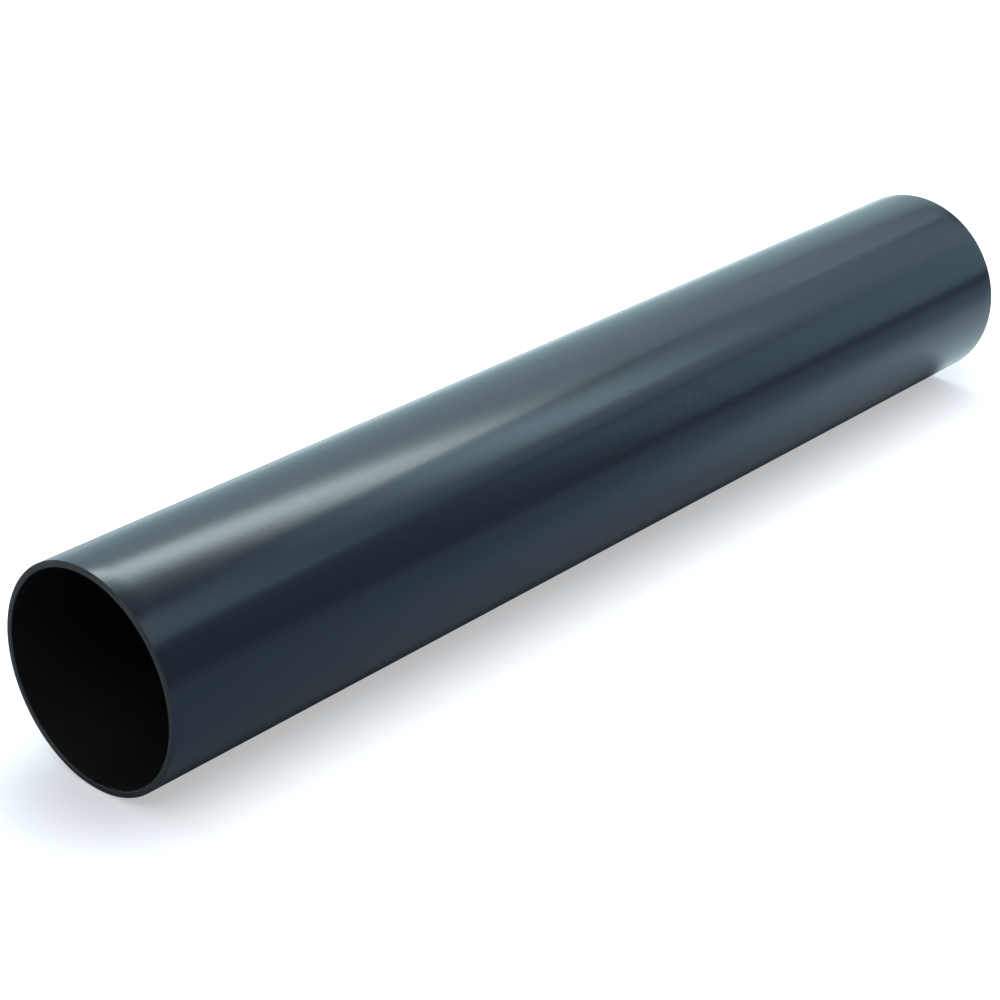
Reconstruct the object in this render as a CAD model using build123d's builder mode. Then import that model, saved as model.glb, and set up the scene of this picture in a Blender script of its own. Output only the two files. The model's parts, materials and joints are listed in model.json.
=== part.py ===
"""Round plastic downpipe: one straight piece of extruded rainwater pipe, lying on its side.

The pipe is a plain thin-walled tube with no socket. Both ends are sawn square across the axis,
and the sharp edge that the saw leaves is broken by a small chamfer, outside and in the bore.

Millimetres, +Z up. The axis runs along X at the height where the barrel touches the floor, and
the origin lies on that floor line under the middle of the pipe.
"""

import os

from build123d import *

# Driving dimensions
outside_diameter = 68.0
wall_thickness = 2.0
pipe_length = 400.0
outer_edge_break = 0.4
bore_edge_break = 0.3

# Sizes that follow from them
outside_radius = outside_diameter / 2
bore_radius = outside_radius - wall_thickness
axis_height = outside_radius

# The extrusion die's face: local X is the row's Y, and the pipe is drawn along its normal
die_plane = Plane(origin=(0, 0, axis_height), x_dir=(0, 1, 0), z_dir=(1, 0, 0))

with BuildPart() as downpipe:
    # The wall's ring, drawn out both ways from the middle of the length
    with BuildSketch(die_plane) as wall_section:
        Circle(outside_radius)
        Circle(bore_radius, mode=Mode.SUBTRACT)
    extrude(amount=pipe_length / 2, both=True)

    # The saw's sharp edges, at both ends: the smallest rings are the bore's, the largest the outside's
    chamfer(
        downpipe.edges().filter_by(GeomType.CIRCLE).group_by(SortBy.RADIUS)[0],
        length=bore_edge_break,
    )
    chamfer(
        downpipe.edges().filter_by(GeomType.CIRCLE).group_by(SortBy.RADIUS)[-1],
        length=outer_edge_break,
    )

downpipe.part.label = "downpipe"

os.makedirs("parts", exist_ok=True)
export_step(downpipe.part, "parts/downpipe.step")
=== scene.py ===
"""Round plastic downpipe: one straight extruded length with sawn ends, lying on a pale studio floor.

Metres, +Z up. The pipe's axis runs along X at the height where the barrel touches the floor, and the
near end, at -X, faces the camera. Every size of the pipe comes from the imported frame.
"""

import json
import math

import bpy
import numpy as np
from bpy.props import FloatProperty, FloatVectorProperty, IntProperty, PointerProperty
from bpy.types import Operator, Panel, PropertyGroup
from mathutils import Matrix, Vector


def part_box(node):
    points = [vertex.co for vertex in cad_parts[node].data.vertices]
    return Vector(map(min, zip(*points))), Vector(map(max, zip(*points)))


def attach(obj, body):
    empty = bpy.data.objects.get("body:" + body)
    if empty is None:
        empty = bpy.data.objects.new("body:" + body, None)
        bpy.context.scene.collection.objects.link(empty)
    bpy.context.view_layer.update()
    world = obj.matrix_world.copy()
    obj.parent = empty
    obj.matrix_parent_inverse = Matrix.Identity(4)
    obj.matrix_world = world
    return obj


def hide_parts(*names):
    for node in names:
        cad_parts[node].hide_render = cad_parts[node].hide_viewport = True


bl_info = {
    "name": "Round Plastic Downpipe",
    "version": (1, 0, 0),
    "blender": (4, 5, 0),
    "location": "3D View > Sidebar > Downpipe",
    "description": "Builds a sawn length of round plastic rainwater pipe and the studio that shows it",
    "category": "Add Mesh",
}

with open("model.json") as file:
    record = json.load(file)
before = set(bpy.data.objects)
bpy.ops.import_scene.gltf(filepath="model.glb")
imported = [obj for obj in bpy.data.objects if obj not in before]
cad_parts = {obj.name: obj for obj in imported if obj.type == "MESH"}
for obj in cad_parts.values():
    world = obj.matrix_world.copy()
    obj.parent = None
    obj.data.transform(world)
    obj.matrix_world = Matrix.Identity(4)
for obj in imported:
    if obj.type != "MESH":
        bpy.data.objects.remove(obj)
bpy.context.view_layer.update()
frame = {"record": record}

NODE = "downpipe"
MILLIMETRE = 0.001
WHITE = (1.0, 1.0, 1.0)
PLASTIC_IOR = 1.57

# The finishes, as the mesh's material numbers
SKIN, BORE, SAWN = range(3)


def frame_mount(name):
    """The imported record's mount of that name."""
    return next(mount for mount in frame["record"]["mounts"] if mount["name"] == name)


# Sizes that the frame gives
node_low, node_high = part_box(NODE)
frame_length = node_high.x - node_low.x
frame_outside = node_high.z - node_low.z
bore_sizes = frame_mount("bore")["dims"]
barrel_sizes = frame_mount("barrel")["dims"]
frame_wall = frame_outside / 2 - bore_sizes["r_mm"] * MILLIMETRE
frame_bore_break = (frame_length - bore_sizes["length_mm"] * MILLIMETRE) / 2
frame_outer_break = (frame_length - barrel_sizes["length_mm"] * MILLIMETRE) / 2


# Settings that a user would change


class PipeSettings(PropertyGroup):
    """Sizes and colours of the pipe."""

    outside_diameter: FloatProperty(
        name="Outside Diameter",
        description="Diameter over the barrel",
        default=frame_outside,
        unit="LENGTH",
    )
    wall: FloatProperty(
        name="Wall",
        description="Thickness of the extruded wall",
        default=frame_wall,
        unit="LENGTH",
        precision=4,
    )
    length: FloatProperty(
        name="Length",
        description="Distance between the two sawn faces",
        default=frame_length,
        unit="LENGTH",
    )
    outer_break: FloatProperty(
        name="Outer Edge Break",
        description="Leg of the chamfer on each end's outside edge",
        default=frame_outer_break,
        unit="LENGTH",
        precision=5,
    )
    bore_break: FloatProperty(
        name="Bore Edge Break",
        description="Leg of the chamfer on each end's bore edge",
        default=frame_bore_break,
        unit="LENGTH",
        precision=5,
    )
    corner_ease: FloatProperty(
        name="Corner Ease",
        description="How far each corner of the wall's outline is eased along its sides",
        default=0.00009,
        unit="LENGTH",
        precision=6,
    )
    ovality: FloatProperty(
        name="Ovality",
        description="How much narrower the pipe is across than it is high",
        default=0.00016,
        unit="LENGTH",
        precision=6,
    )
    segments: IntProperty(
        name="Segments",
        description="Faces round the pipe",
        default=480,
        min=24,
    )
    burr_height: FloatProperty(
        name="Burr Height",
        description="Height of the saw's burr on the near end's lower bore edge",
        default=0.0007,
        unit="LENGTH",
        precision=5,
    )
    skin_colour: FloatVectorProperty(
        name="Skin Colour",
        description="Colour of the extruded plastic's smooth skin",
        subtype="COLOR",
        default=(0.0135, 0.0175, 0.029),
        min=0.0,
        max=1.0,
    )
    sheen_tint: FloatVectorProperty(
        name="Reflection Tint",
        description="Tint of what the skin reflects when looked at square on",
        subtype="COLOR",
        default=(0.665, 0.845, 1.0),
        min=0.0,
        max=1.0,
    )
    bore_colour: FloatVectorProperty(
        name="Bore Colour",
        description="Colour of the plastic inside the pipe",
        subtype="COLOR",
        default=(0.009, 0.0098, 0.0102),
        min=0.0,
        max=1.0,
    )
    sawn_colour: FloatVectorProperty(
        name="Sawn Colour",
        description="Colour of the plastic where the saw has cut it",
        subtype="COLOR",
        default=(0.0185, 0.024, 0.0265),
        min=0.0,
        max=1.0,
    )
    skin_roughness: FloatProperty(
        name="Skin Roughness",
        description="Roughness of the barrel's skin",
        default=0.195,
        min=0.0,
        max=1.0,
    )


class StudioSettings(PropertyGroup):
    """Floor, backdrop, lamps and camera."""

    floor_colour: FloatVectorProperty(
        name="Floor Colour",
        description="Colour of the paper floor",
        subtype="COLOR",
        default=(0.46, 0.52, 0.60),
        min=0.0,
        max=1.0,
    )
    backdrop_colour: FloatVectorProperty(
        name="Backdrop Colour",
        description="Colour of the wall that the barrel mirrors",
        subtype="COLOR",
        default=(0.80, 0.97, 1.0),
        min=0.0,
        max=1.0,
    )
    room_colour: FloatVectorProperty(
        name="Room Colour",
        description="Even light of the room, which the camera sees as white",
        subtype="COLOR",
        default=(0.19, 0.20, 0.21),
        min=0.0,
        max=1.0,
    )
    aim: FloatVectorProperty(
        name="Camera Aim",
        description="Point in the middle of the picture",
        subtype="TRANSLATION",
        default=(-0.0205, 0.0123, 0.0189),
        precision=4,
    )
    distance: FloatProperty(
        name="Camera Distance",
        description="Distance from the camera to its aim",
        default=0.7885,
        unit="LENGTH",
        precision=4,
    )
    heading: FloatProperty(
        name="Camera Heading",
        description="Direction that the camera looks in, from +X towards +Y",
        default=math.radians(41.43),
        subtype="ANGLE",
    )
    elevation: FloatProperty(
        name="Camera Elevation",
        description="How far the camera looks down",
        default=math.radians(25.59),
        subtype="ANGLE",
    )
    lens: FloatProperty(
        name="Lens",
        description="Focal length in millimetres on a 36 millimetre sensor",
        default=88.56,
    )


# Surfaces


def eased_outline(corners, counts, ease, turn_points):
    """A closed outline whose corners are eased.

    Each side is a straight run of points from the ease after its first corner to the ease before its
    second. Each corner is a quadratic curve, (1-t)^2 A + 2t(1-t) C + t^2 B, from the point A on one
    side to the point B on the next, with the corner C as its middle point.
    """
    following = np.roll(corners, -1, axis=0)
    run = following - corners
    direction = run / np.linalg.norm(run, axis=1, keepdims=True)
    starts = corners + direction * ease
    stops = following - direction * ease
    t = np.linspace(0.0, 1.0, turn_points + 1)[1:-1, None]
    pieces = []
    for side, count in enumerate(counts):
        share = np.linspace(0.0, 1.0, count + 1)[:, None]
        pieces.append(starts[side] + (stops[side] - starts[side]) * share)
        corner = following[side]
        leaving = starts[(side + 1) % len(counts)]
        pieces.append((1 - t) ** 2 * stops[side] + 2 * t * (1 - t) * corner + t**2 * leaving)
    return np.concatenate(pieces)


def grid_points(x, y, z):
    """The points of a grid with those coordinates, row by row."""
    return np.stack(np.broadcast_arrays(x, y, z), axis=-1).reshape(-1, 3)


def closed_grid_faces(rows, columns):
    """Quads of a grid that closes on itself both ways, each as four point numbers."""
    row, column = np.meshgrid(np.arange(rows), np.arange(columns), indexing="ij")
    next_row = (row + 1) % rows
    next_column = (column + 1) % columns
    quads = np.stack(
        [
            row * columns + column,
            row * columns + next_column,
            next_row * columns + next_column,
            next_row * columns + column,
        ],
        axis=-1,
    )
    return quads.reshape(-1, 4)


def ring_grid_faces(rings, columns):
    """Quads between the rings of a grid, with its first and last rings left open."""
    return closed_grid_faces(rings, columns)[: (rings - 1) * columns]


def wall_corners(pipe):
    """The corners of the wall's outline, (x, r), from the near end of the barrel round to its start."""
    half = pipe.length / 2
    outer = pipe.outside_diameter / 2
    inner = outer - pipe.wall
    return np.array(
        [
            (-half + pipe.outer_break, outer),
            (half - pipe.outer_break, outer),
            (half, outer - pipe.outer_break),
            (half, inner + pipe.bore_break),
            (half - pipe.bore_break, inner),
            (-half + pipe.bore_break, inner),
            (-half, inner + pipe.bore_break),
            (-half, outer - pipe.outer_break),
        ]
    )


def points_round_axis(pipe, x, radius, angle):
    """Points at x, and at a radius and angle round the pipe's axis, with the angle counted from the top.

    A point at x, r and a goes to x, r sin a, axis height + r cos a.
    """
    axis_height = pipe.outside_diameter / 2
    return grid_points(x, radius * np.sin(angle), axis_height + radius * np.cos(angle))


def tube_surface(pipe):
    """Points and faces of the wall: its outline, (x, r), carried round the axis.

    The radius is drawn in by half the ovality times sin^2 of the angle from the top, which is nothing
    at the top and at the floor line. The haul-off's slow wave, which winds along the pipe, takes a
    little of that away again. The outline runs clockwise, so its quads are turned to face outwards.
    """
    barrel_rows, edge_rows, face_rows, bore_rows = 72, 2, 6, 48
    turn_points = 4
    wave_length = 0.34 * pipe.length
    waves_round = 3
    wave_share = 0.15
    counts = [barrel_rows, edge_rows, face_rows, edge_rows, bore_rows, edge_rows, face_rows, edge_rows]
    outline = eased_outline(wall_corners(pipe), counts, pipe.corner_ease, turn_points)
    x = outline[:, :1]
    angle = np.linspace(0.0, 2 * np.pi, pipe.segments, endpoint=False)[None, :]
    haul_off = 0.5 + 0.5 * np.sin(2 * np.pi * x / wave_length + waves_round * angle)
    drawn_in = pipe.ovality / 2 * np.sin(angle) ** 2 * (1 - wave_share * haul_off)
    points = points_round_axis(pipe, x, outline[:, 1:] - drawn_in, angle)
    return points, closed_grid_faces(len(outline), pipe.segments)[:, ::-1]


def burr_surface(pipe):
    """Points, sides and two end faces of the ragged fin that the saw leaves on the lower bore edge.

    The fin runs an arc of the near end's bore edge, round the floor line, and u goes along it from -1
    to 1. Its section is a thin ellipse with its root sunk in the wall. Its tip stands up by the burr's
    height times a sum of bells, h exp(-((u - place) / width)^2), roughened by three sine waves of u.
    Towards both ends the tip runs down to the root.
    """
    arc_points, ring_points = 360, 8
    half_arc = math.radians(26.0)
    bell_places = np.array([0.18, 0.48, 0.70])
    bell_widths = np.array([0.05, 0.10, 0.06])
    bell_heights = np.array([0.8, 1.0, 0.8])
    least_height = 0.06
    wave_rates = np.array([61.0, 113.0, 207.0])
    wave_starts = np.array([0.0, 1.0, 0.0])
    wave_heights = np.array([0.28, 0.2, 0.12])
    run_out_share = 0.12
    most_lean, lean_rate, lean_start = 0.35, 9.0, 0.6
    thickness = 0.00011
    thinnest_share = 0.25
    root = 0.0002
    edge_share = 0.62

    # Along the arc
    u = np.linspace(-1.0, 1.0, arc_points)[:, None]
    bells = bell_heights * np.exp(-(((u - bell_places) / bell_widths) ** 2))
    waves = wave_heights * np.sin(wave_rates * u + wave_starts)
    crest = least_height + bells.sum(axis=1, keepdims=True)
    ragged = 1.0 + waves.sum(axis=1, keepdims=True)
    run_out = np.clip((1.0 - np.abs(u)) / run_out_share, 0.0, 1.0)
    height = pipe.burr_height * crest * ragged * run_out
    lean = most_lean * height * (0.5 + 0.5 * np.sin(lean_rate * u + lean_start))

    # Round the section
    turn = np.linspace(0.0, 2 * np.pi, ring_points, endpoint=False)[None, :]
    rise_share = (1 - np.cos(turn)) / 2
    root_radius = pipe.outside_diameter / 2 - pipe.wall + pipe.bore_break / 2 + root
    radius = root_radius - (root + height) * rise_share
    middle_x = -pipe.length / 2 + pipe.bore_break * edge_share
    x = middle_x + thickness / 2 * np.sin(turn) * (thinnest_share + run_out) + lean * rise_share

    points = points_round_axis(pipe, x, radius, np.pi + half_arc * u)
    first_ring = np.arange(ring_points)
    last_ring = first_ring + (arc_points - 1) * ring_points
    return points, ring_grid_faces(arc_points, ring_points), first_ring[::-1], last_ring


def mesh_object(name, points, faces):
    """A mesh object at the origin, made of these points and of faces that already look outwards."""
    mesh = bpy.data.meshes.new(name)
    mesh.from_pydata(points.tolist(), [], faces)
    mesh.update()
    obj = bpy.data.objects.new(name, mesh)
    bpy.context.scene.collection.objects.link(obj)
    return obj


# Shader helpers


def node(tree, kind, inputs=None, **settings):
    """A new node of that kind. Inputs maps a socket's name or number to a value or to another socket."""
    made = tree.nodes.new(kind)
    for name, value in settings.items():
        setattr(made, name, value)
    for key, value in (inputs or {}).items():
        if isinstance(value, bpy.types.NodeSocket):
            tree.links.new(value, made.inputs[key])
        else:
            made.inputs[key].default_value = value
    return made


def worked_out(tree, operation, *values):
    """The number that a Math node's operation makes of the values."""
    return node(tree, "ShaderNodeMath", dict(enumerate(values)), operation=operation).outputs[0]


def worked_out_vector(tree, operation, *values):
    """The vector that a Vector Math node's operation makes of the values."""
    return node(tree, "ShaderNodeVectorMath", dict(enumerate(values)), operation=operation).outputs[0]


def blended(tree, share, first, second):
    """A number that goes from the first to the second with the share."""
    inputs = {"Factor": share, "A": first, "B": second}
    return node(tree, "ShaderNodeMix", inputs, data_type="FLOAT").outputs["Result"]


def noise(tree, vector, scale, detail=2.0, roughness=0.5):
    """Even noise over those coordinates."""
    inputs = {"Vector": vector, "Scale": scale, "Detail": detail, "Roughness": roughness}
    return node(tree, "ShaderNodeTexNoise", inputs).outputs["Fac"]


def carried(tree, value, from_low, from_high, to_low, to_high, course="LINEAR"):
    """The value carried from one range to the other, and kept inside it."""
    inputs = {
        "Value": value,
        "From Min": from_low,
        "From Max": from_high,
        "To Min": to_low,
        "To Max": to_high,
    }
    return node(tree, "ShaderNodeMapRange", inputs, interpolation_type=course).outputs["Result"]


def new_group(name, inputs, outputs):
    """An empty shader node group with named sockets, and its input and output nodes."""
    group = bpy.data.node_groups.new(name, "ShaderNodeTree")
    for label, kind, value in inputs:
        socket = group.interface.new_socket(label, in_out="INPUT", socket_type=kind)
        if value is not None:
            socket.default_value = value
    for label, kind in outputs:
        group.interface.new_socket(label, in_out="OUTPUT", socket_type=kind)
    return group, group.nodes.new("NodeGroupInput"), group.nodes.new("NodeGroupOutput")


def die_lines_group():
    """Fine lines that the extrusion die draws along the pipe: noise stretched along X.

    The bands are the same noise, drawn wider.
    """
    wide_share = 0.16
    group, given, result = new_group(
        "Die Lines",
        [
            ("Vector", "NodeSocketVector", None),
            ("Lines per Metre", "NodeSocketFloat", 900.0),
            ("Stretch", "NodeSocketFloat", 60.0),
        ],
        [("Height", "NodeSocketFloat"), ("Bands", "NodeSocketFloat")],
    )
    along = worked_out(group, "DIVIDE", 1.0, given.outputs["Stretch"])
    squeeze = node(group, "ShaderNodeCombineXYZ", {"X": along, "Y": 1.0, "Z": 1.0}).outputs[0]
    drawn = worked_out_vector(group, "MULTIPLY", given.outputs["Vector"], squeeze)
    wide_scale = worked_out(group, "MULTIPLY", given.outputs["Lines per Metre"], wide_share)
    group.links.new(noise(group, drawn, given.outputs["Lines per Metre"]), result.inputs["Height"])
    group.links.new(noise(group, drawn, wide_scale), result.inputs["Bands"])
    return group


def grain_group():
    """The plastic's fine grain: even noise for relief, and the same noise as a shade about one."""
    noise_middle = 0.5
    group, given, result = new_group(
        "Plastic Grain",
        [
            ("Vector", "NodeSocketVector", None),
            ("Grains per Metre", "NodeSocketFloat", 1400.0),
            ("Contrast", "NodeSocketFloat", 0.1),
        ],
        [("Height", "NodeSocketFloat"), ("Shade", "NodeSocketFloat")],
    )
    grain = noise(group, given.outputs["Vector"], given.outputs["Grains per Metre"], roughness=0.55)
    centred = worked_out(group, "SUBTRACT", grain, noise_middle)
    shade = worked_out(group, "MULTIPLY_ADD", centred, given.outputs["Contrast"], 1.0)
    group.links.new(grain, result.inputs["Height"])
    group.links.new(shade, result.inputs["Shade"])
    return group


def gloss_group():
    """Roughness that drifts between two values, half in soft patches and half along a mask."""
    noise_low, noise_high = 0.32, 0.68
    mask_share = 0.5
    group, given, result = new_group(
        "Uneven Gloss",
        [
            ("Vector", "NodeSocketVector", None),
            ("Patches per Metre", "NodeSocketFloat", 14.0),
            ("Mask", "NodeSocketFloat", 0.5),
            ("Glossiest", "NodeSocketFloat", 0.18),
            ("Dullest", "NodeSocketFloat", 0.24),
        ],
        [("Roughness", "NodeSocketFloat")],
    )
    patches = noise(group, given.outputs["Vector"], given.outputs["Patches per Metre"], detail=3.0)
    both = blended(group, mask_share, patches, given.outputs["Mask"])
    glossiest, dullest = given.outputs["Glossiest"], given.outputs["Dullest"]
    roughness = carried(group, both, noise_low, noise_high, glossiest, dullest)
    group.links.new(roughness, result.inputs["Roughness"])
    return group


def shared_groups():
    """The node groups that more than one finish uses, built once."""
    return {"lines": die_lines_group(), "grain": grain_group(), "gloss": gloss_group()}


def object_place(tree):
    """The place on the object, in its own coordinates."""
    return node(tree, "ShaderNodeTexCoord").outputs["Object"]


def new_material(name):
    """A material, its nodes and the place on the object, ready for a finish."""
    material = bpy.data.materials.new(name)
    material.use_nodes = True
    return material, material.node_tree, object_place(material.node_tree)


def placed(tree, group, inputs):
    """A group placed in a material with its own values: what it puts out."""
    return node(tree, "ShaderNodeGroup", inputs, node_tree=group).outputs


def shaded_colour(tree, colour, shade):
    """The colour times a shade about one."""
    vector = node(tree, "ShaderNodeVectorMath", {0: colour, "Scale": shade}, operation="SCALE")
    return vector.outputs[0]


def relief(tree, height, strength, depth, under=None):
    """A bump of that height laid over another normal."""
    inputs = {"Height": height, "Strength": strength, "Distance": depth}
    if under is not None:
        inputs["Normal"] = under
    return node(tree, "ShaderNodeBump", inputs).outputs["Normal"]


def finished(tree, colour, roughness, normal):
    """The material's shader, with a finish's colour, roughness and normal linked to it."""
    shader = tree.nodes["Principled BSDF"]
    tree.links.new(colour, shader.inputs["Base Color"])
    tree.links.new(roughness, shader.inputs["Roughness"])
    tree.links.new(normal, shader.inputs["Normal"])
    shader.inputs["IOR"].default_value = PLASTIC_IOR
    return shader


def skin_material(pipe, groups):
    """The barrel's outside: glossy skin with faint die lines, fine grain and gloss that drifts."""
    glossier, duller = 0.02, 0.03
    material, tree, place = new_material("downpipe skin")
    lines = placed(
        tree,
        groups["lines"],
        {"Vector": place, "Lines per Metre": 600.0, "Stretch": 70.0},
    )
    grain = placed(
        tree,
        groups["grain"],
        {"Vector": place, "Grains per Metre": 1300.0, "Contrast": 0.2},
    )
    gloss = placed(
        tree,
        groups["gloss"],
        {
            "Vector": place,
            "Mask": lines["Bands"],
            "Glossiest": pipe.skin_roughness - glossier,
            "Dullest": pipe.skin_roughness + duller,
        },
    )
    colour = shaded_colour(tree, pipe.skin_colour, grain["Shade"])
    drawn = relief(tree, lines["Height"], strength=0.2, depth=0.000004)
    pebbled = relief(tree, grain["Height"], strength=0.08, depth=0.000003, under=drawn)
    shader = finished(tree, colour, gloss["Roughness"], pebbled)
    shader.inputs["Specular Tint"].default_value = (*pipe.sheen_tint, 1.0)
    return material


def bore_material(pipe, groups):
    """The bore: the same plastic, drawn over the mandrel, so a little duller and more lined."""
    material, tree, place = new_material("downpipe bore")
    lines = placed(
        tree,
        groups["lines"],
        {"Vector": place, "Lines per Metre": 1100.0, "Stretch": 45.0},
    )
    grain = placed(
        tree,
        groups["grain"],
        {"Vector": place, "Grains per Metre": 1500.0, "Contrast": 0.3},
    )
    gloss = placed(
        tree,
        groups["gloss"],
        {"Vector": place, "Mask": lines["Bands"], "Glossiest": 0.3, "Dullest": 0.38},
    )
    colour = shaded_colour(tree, pipe.bore_colour, grain["Shade"])
    drawn = relief(tree, lines["Height"], strength=0.5, depth=0.000008)
    pebbled = relief(tree, grain["Height"], strength=0.4, depth=0.000005, under=drawn)
    finished(tree, colour, gloss["Roughness"], pebbled)
    return material


def sawn_material(pipe, groups):
    """The sawn faces: dull plastic with the arcs of the blade's teeth, paler where they scratched it.

    The arcs are rings about the blade's middle, which stands over the cut and to one side of it. At a
    scale of 1, a Wave Texture's rings lie pi / 10 apart.
    """
    blade_radius = 0.125
    middle_y, middle_z = -0.55 * blade_radius, 0.85 * blade_radius
    tooth_pitch = 0.0010857
    wander_share = 0.35
    material, tree, place = new_material("downpipe sawn plastic")
    blade = node(
        tree,
        "ShaderNodeMapping",
        {"Vector": place, "Location": (0.0, -middle_y, -middle_z), "Scale": (0.0, 1.0, 1.0)},
    )
    teeth = node(
        tree,
        "ShaderNodeTexWave",
        {
            "Vector": blade.outputs[0],
            "Scale": math.pi / 10 / tooth_pitch,
            "Distortion": 3.0,
            "Detail": 3.0,
            "Detail Scale": 2.0,
        },
        wave_type="RINGS",
        rings_direction="X",
    )
    wander = noise(tree, place, scale=240.0)
    marks = blended(tree, wander_share, teeth.outputs["Fac"], wander)
    grain = placed(
        tree,
        groups["grain"],
        {"Vector": place, "Grains per Metre": 3200.0, "Contrast": 0.5},
    )
    gloss = placed(
        tree,
        groups["gloss"],
        {
            "Vector": place,
            "Patches per Metre": 120.0,
            "Mask": marks,
            "Glossiest": 0.5,
            "Dullest": 0.68,
        },
    )
    scratched = carried(tree, marks, from_low=0.2, from_high=0.8, to_low=0.8, to_high=1.3)
    shade = worked_out(tree, "MULTIPLY", scratched, grain["Shade"])
    colour = shaded_colour(tree, pipe.sawn_colour, shade)
    cut = relief(tree, marks, strength=0.6, depth=0.00004)
    torn = relief(tree, grain["Height"], strength=0.5, depth=0.00002, under=cut)
    finished(tree, colour, gloss["Roughness"], torn)
    return material


# Pieces


def face_materials(points, quads, pipe):
    """The material number of each wall face.

    A face is the skin's or the bore's if its middle lies between the two ends' edge breaks, on the
    side of the wall's middle that it faces. The rest are sawn.
    """
    middle = points[quads].mean(axis=1)
    axis_height = pipe.outside_diameter / 2
    radius = np.hypot(middle[:, 1], middle[:, 2] - axis_height)
    half = pipe.length / 2
    outside = radius > axis_height - pipe.wall / 2
    edge = np.where(outside, pipe.outer_break, pipe.bore_break)
    drawn = np.abs(middle[:, 0]) < half - edge
    return np.where(drawn, np.where(outside, SKIN, BORE), SAWN)


def build_pipe(pipe):
    """The pipe as one mesh of three finishes: the wall, and the burr with its root sunk in it."""
    points, quads = tube_surface(pipe)
    burr_points, burr_quads, first_end, last_end = burr_surface(pipe)
    offset = len(points)
    faces = np.concatenate([quads, burr_quads + offset]).tolist()
    faces += [(first_end + offset).tolist(), (last_end + offset).tolist()]
    finishes = np.full(len(faces), SAWN, np.int32)
    finishes[: len(quads)] = face_materials(points, quads, pipe)
    obj = mesh_object("downpipe_wall", np.concatenate([points, burr_points]), faces)
    groups = shared_groups()
    for finish_material in (skin_material, bore_material, sawn_material):
        obj.data.materials.append(finish_material(pipe, groups))
    obj.data.polygons.foreach_set("material_index", finishes)
    obj.data.polygons.foreach_set("use_smooth", np.ones(len(faces), bool))
    obj.data.update()
    return obj


class DOWNPIPE_OT_pipe(Operator):
    """Build the sawn length of pipe and lay it on its side"""

    bl_idname = "downpipe.build_pipe"
    bl_label = "Pipe"

    def execute(self, context):
        obj = build_pipe(context.scene.downpipe_pipe)
        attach(obj, "root")
        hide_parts(NODE)
        return {"FINISHED"}


# Studio


def floor_object():
    """A round sheet of pale paper under the pipe: a middle face, and rings of quads round it.

    A point at radius r and angle a goes to r cos a, r sin a, 0.
    """
    radius = np.array([0.3, 1.0, 2.25])[:, None]
    segments = 96
    angle = np.linspace(0.0, 2 * np.pi, segments, endpoint=False)[None, :]
    points = grid_points(radius * np.cos(angle), radius * np.sin(angle), 0.0)
    rings = ring_grid_faces(radius.size, segments)[:, ::-1]
    middle = np.arange(segments)
    return mesh_object("studio_floor", points, rings.tolist() + [middle.tolist()])


def backdrop_object():
    """A wall that bends round behind the pipe and along its right side.

    It is part of an upright cylinder: a point at angle a and share s of the height goes to R cos a,
    R sin a, low + s (high - low). The lower edge, low, lifts off the floor towards the right by the
    lift times 3 t^2 - 2 t^3, where t goes from 0 to 1 between two angles.
    """
    radius, high, lift = 2.2, 1.15, 0.22
    right_end, left_end = math.radians(-43.0), math.radians(130.0)
    lift_starts, lift_whole = math.radians(20.0), math.radians(-10.0)
    columns = 90
    angle = np.linspace(right_end, left_end, columns)[None, :]
    share = np.array([0.0, 1.0])[:, None]
    t = np.clip((lift_starts - angle) / (lift_starts - lift_whole), 0.0, 1.0)
    low = lift * t**2 * (3.0 - 2.0 * t)
    points = grid_points(radius * np.cos(angle), radius * np.sin(angle), low + share * (high - low))
    column = np.arange(columns - 1)
    faces = np.stack([column + 1, column, column + columns, column + columns + 1], axis=-1)
    return mesh_object("studio_backdrop", points, faces.tolist())


def faded(tree, value, none_at, whole_at, least=0.0):
    """A share that goes smoothly from the least at one value to 1 at the other."""
    return carried(tree, value, none_at, whole_at, least, 1.0, course="SMOOTHSTEP")


def distance_from_pipe(tree, place, half_length):
    """Distance over the floor from a line under the pipe that reaches the half length each way."""
    folded = worked_out_vector(tree, "ABSOLUTE", place)
    beyond = worked_out_vector(tree, "SUBTRACT", folded, (half_length, 0.0, 0.0))
    outside = worked_out_vector(tree, "MAXIMUM", beyond, (0.0, 0.0, 0.0))
    return node(tree, "ShaderNodeVectorMath", {0: outside}, operation="LENGTH").outputs["Value"]


def distance_along(tree, place, direction):
    """How far a point lies along a direction from the origin."""
    inputs = {0: place, 1: direction}
    return node(tree, "ShaderNodeVectorMath", inputs, operation="DOT_PRODUCT").outputs["Value"]


def multiplied(tree, value, *others):
    """The product of all the values."""
    for other in others:
        value = worked_out(tree, "MULTIPLY", value, other)
    return value


def camera_share(tree):
    """1 where the camera looks straight at it, and 0 elsewhere."""
    return node(tree, "ShaderNodeLightPath").outputs["Is Camera Ray"]


def mirrored_share(tree):
    """1 where it is looked at in a reflection or through glass, and 0 elsewhere."""
    rays = node(tree, "ShaderNodeLightPath").outputs
    return worked_out(tree, "MAXIMUM", rays["Is Glossy Ray"], rays["Is Transmission Ray"])


def paper_material(name, colour):
    """Paper of a diffuse colour: the material, its nodes and the paper's shader."""
    material = bpy.data.materials.new(name)
    material.use_nodes = True
    tree = material.node_tree
    tree.nodes.remove(tree.nodes["Principled BSDF"])
    return material, tree, node(tree, "ShaderNodeBsdfDiffuse", {"Color": (*colour, 1.0)})


def with_glow(tree, surface, colour, strength):
    """The surface with light of that colour and strength added."""
    light = node(tree, "ShaderNodeEmission", {"Color": (*colour, 1.0), "Strength": strength})
    return node(tree, "ShaderNodeAddShader", {0: surface, 1: light.outputs[0]}).outputs[0]


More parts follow.
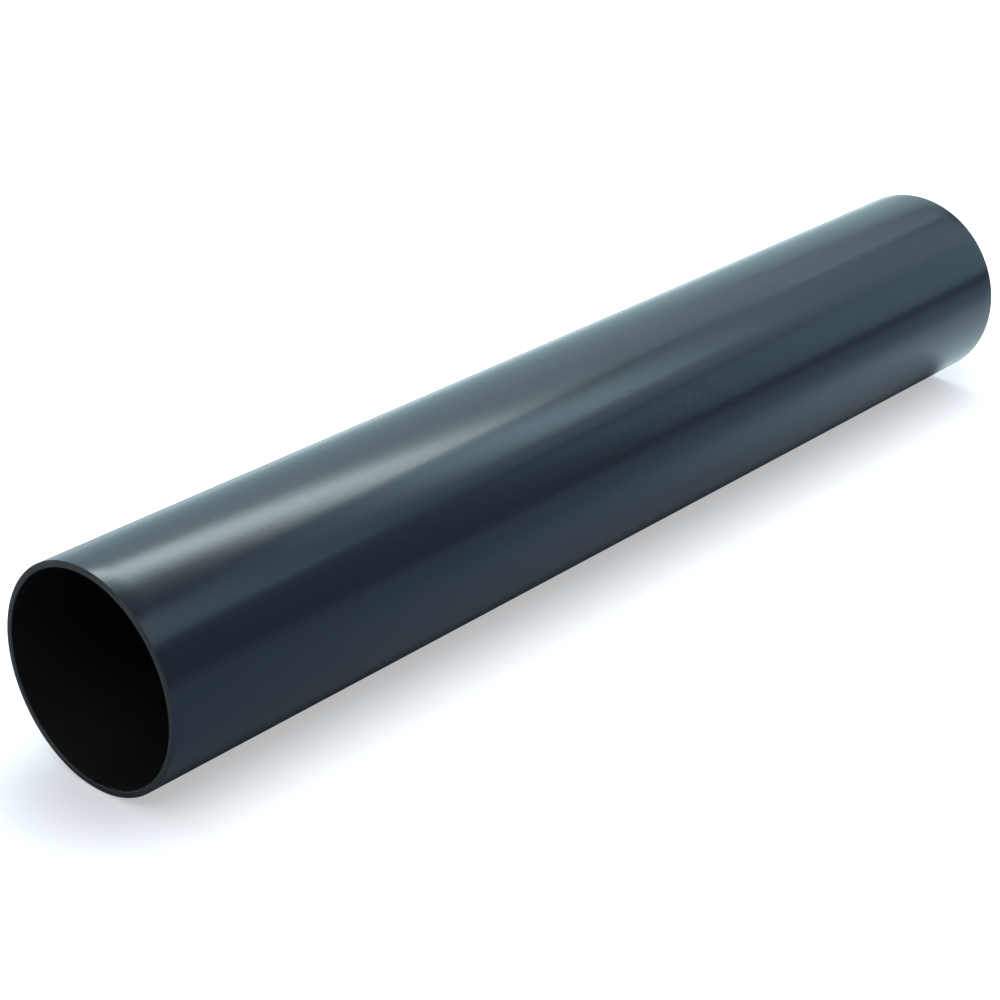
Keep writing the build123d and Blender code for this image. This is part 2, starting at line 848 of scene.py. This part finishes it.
def floor_material(studio):
    """The floor's paper: white to the camera, but for the pipe's shadow.

    Reflections see a painted light on it, bright beyond and behind the pipe, and brighter towards the
    far end. Beside the near end and far out to the right the painted light is gone, so they see it as
    dim as its own colour, and darker still where the pipe touches it, from a painted contact shadow,
    as the barrel shows it.
    """
    far_end = frame_length / 2
    line_inset = 0.01
    # Strength of the painted light that reflections see on the floor
    mirrored_strength = 0.76
    material, tree, paper = paper_material("floor paper", studio.floor_colour)
    place = object_place(tree)
    gap = distance_from_pipe(tree, place, far_end - line_inset)
    forward = distance_along(tree, place, (1.0, 0.0, 0.0))
    leftward = distance_along(tree, place, (0.0, 1.0, 0.0))
    away = distance_along(tree, place, (0.5, 0.87, 0.0))
    mirrored = mirrored_share(tree)

    # Painted contact shadow: the paper darker close to the pipe, in reflections alone
    painted_contact_shade = blended(tree, mirrored, 1.0, faded(tree, gap, none_at=0.01, whole_at=0.03, least=0.4))
    tree.links.new(shaded_colour(tree, studio.floor_colour, painted_contact_shade), paper.inputs["Color"])

    # White to the camera, with less of it where the shadow lies
    unshadowed = faded(tree, gap, none_at=0.01, whole_at=0.07, least=0.45)
    white_strength = multiplied(tree, camera_share(tree), unshadowed)
    surface = with_glow(tree, paper.outputs[0], WHITE, white_strength)

    # Painted light that reflections see: a glow laid over the paper, bright behind the pipe and towards
    # its far end, with a painted shadow where it fades out close to the pipe's side
    beside = faded(tree, gap, none_at=0.012, whole_at=0.08)
    beyond = faded(tree, forward, none_at=far_end - 0.01, whole_at=far_end + 0.005)
    shares = [
        worked_out(tree, "MAXIMUM", beside, beyond),
        faded(tree, away, none_at=-0.17, whole_at=0.07),
        faded(tree, leftward, none_at=-0.17, whole_at=-0.04),
        faded(tree, forward, none_at=0.02, whole_at=0.16, least=0.52),
    ]
    strength = multiplied(tree, mirrored, *shares, mirrored_strength)
    surface = with_glow(tree, surface, studio.backdrop_colour, strength)
    tree.links.new(surface, tree.nodes["Material Output"].inputs["Surface"])
    return material


def backdrop_material(studio):
    """The wall's paper, with a glow for reflections and glass."""
    mirrored_strength = 0.4
    material, tree, paper = paper_material("backdrop paper", studio.backdrop_colour)
    strength = multiplied(tree, mirrored_share(tree), mirrored_strength)
    surface = with_glow(tree, paper.outputs[0], studio.backdrop_colour, strength)
    tree.links.new(surface, tree.nodes["Material Output"].inputs["Surface"])
    return material


def lamp(name, colour, centre, turn, size, level):
    """A flat lamp that faces down.

    Turn is the angle of its long side from +X, in degrees. Level is how bright it looks, where 1 is
    white: a flat lamp of power P and area A looks as bright as P / (pi A).
    """
    data = bpy.data.lights.new(name, "AREA")
    data.shape = "RECTANGLE"
    data.size, data.size_y = size
    data.energy = level * math.pi * size[0] * size[1]
    data.color = colour
    obj = bpy.data.objects.new(name, data)
    obj.location = centre
    obj.rotation_euler = (0.0, 0.0, math.radians(turn))
    obj.visible_camera = False
    bpy.context.scene.collection.objects.link(obj)


def build_lamps():
    """The lamps hang level over the floor, most of them beyond the pipe and side on to the camera.

    The first three hang a centimetre above each other, so that none of them touch.
    """
    warm = (0.95, 0.94, 0.84)
    cool = (0.80, 0.98, 1.0)
    side_on = -48.6
    lowest, middle, highest = 1.034, 1.044, 1.054
    lamp("strip lamp", warm, (0.59, 0.391, lowest), turn=-67.3, size=(0.946, 0.241), level=8.0)
    lamp("side lamp", cool, (0.947, -0.312, middle), turn=-54.2, size=(0.709, 0.227), level=2.75)
    lamp("front lamp", cool, (0.603, -0.97, highest), turn=side_on, size=(0.872, 0.598), level=1.1)
    lamp("low wide lamp", cool, (1.684, -0.582, 1.3), turn=side_on, size=(1.306, 1.166), level=0.86)
    lamp("high wide lamp", cool, (0.9, 1.415, 1.5), turn=0.0, size=(2.902, 2.5), level=1.06)
    lamp("fill lamp", WHITE, (-0.95, -0.45, 1.2), turn=0.0, size=(0.9, 0.9), level=3.0)


def build_camera(studio):
    """The camera: it stands back from its aim against its heading, and looks down by its elevation."""
    data = bpy.data.cameras.new("camera")
    data.lens = studio.lens
    data.clip_start = 0.01
    data.clip_end = 100.0
    obj = bpy.data.objects.new("camera", data)
    bpy.context.scene.collection.objects.link(obj)
    level = math.cos(studio.elevation)
    forward = Vector(
        (
            math.cos(studio.heading) * level,
            math.sin(studio.heading) * level,
            -math.sin(studio.elevation),
        )
    )
    obj.location = Vector(studio.aim) - forward * studio.distance
    obj.rotation_mode = "QUATERNION"
    obj.rotation_quaternion = forward.to_track_quat("-Z", "Y")
    bpy.context.scene.camera = obj


def build_room(studio):
    """The world: one even grey, and white to the camera. Its colours show as they are written."""
    world = bpy.data.worlds.new("studio room")
    world.use_nodes = True
    tree = world.node_tree
    room = tree.nodes["Background"]
    room.inputs["Color"].default_value = (*studio.room_colour, 1.0)
    white = node(tree, "ShaderNodeBackground", {"Color": (*WHITE, 1.0)})
    inputs = {0: camera_share(tree), 1: room.outputs[0], 2: white.outputs[0]}
    shown = node(tree, "ShaderNodeMixShader", inputs)
    tree.links.new(shown.outputs[0], tree.nodes["World Output"].inputs["Surface"])
    bpy.context.scene.world = world
    bpy.context.scene.view_settings.view_transform = "Standard"


class DOWNPIPE_OT_stage(Operator):
    """Build the floor, the backdrop, the lamps, the room and the camera"""

    bl_idname = "downpipe.build_stage"
    bl_label = "Stage"

    def execute(self, context):
        studio = context.scene.downpipe_studio
        floor = floor_object()
        floor.data.materials.append(floor_material(studio))
        backdrop = backdrop_object()
        backdrop.data.materials.append(backdrop_material(studio))
        backdrop.visible_camera = False
        build_lamps()
        build_room(studio)
        build_camera(studio)
        return {"FINISHED"}


class DOWNPIPE_PT_panel(Panel):
    """Builds the pipe and its stage"""

    bl_idname = "DOWNPIPE_PT_panel"
    bl_label = "Downpipe"
    bl_space_type = "VIEW_3D"
    bl_region_type = "UI"
    bl_category = "Downpipe"

    def draw(self, context):
        layout = self.layout
        layout.operator(DOWNPIPE_OT_pipe.bl_idname)
        layout.operator(DOWNPIPE_OT_stage.bl_idname)


CLASSES = (PipeSettings, StudioSettings, DOWNPIPE_OT_pipe, DOWNPIPE_OT_stage, DOWNPIPE_PT_panel)


def register():
    for cls in CLASSES:
        bpy.utils.register_class(cls)
    bpy.types.Scene.downpipe_pipe = PointerProperty(type=PipeSettings)
    bpy.types.Scene.downpipe_studio = PointerProperty(type=StudioSettings)


def unregister():
    del bpy.types.Scene.downpipe_studio
    del bpy.types.Scene.downpipe_pipe
    for cls in reversed(CLASSES):
        bpy.utils.unregister_class(cls)


def main():
    """Builds the pipe, then its stage."""
    register()
    bpy.ops.downpipe.build_pipe()
    bpy.ops.downpipe.build_stage()


if __name__ == "__main__":
    main()
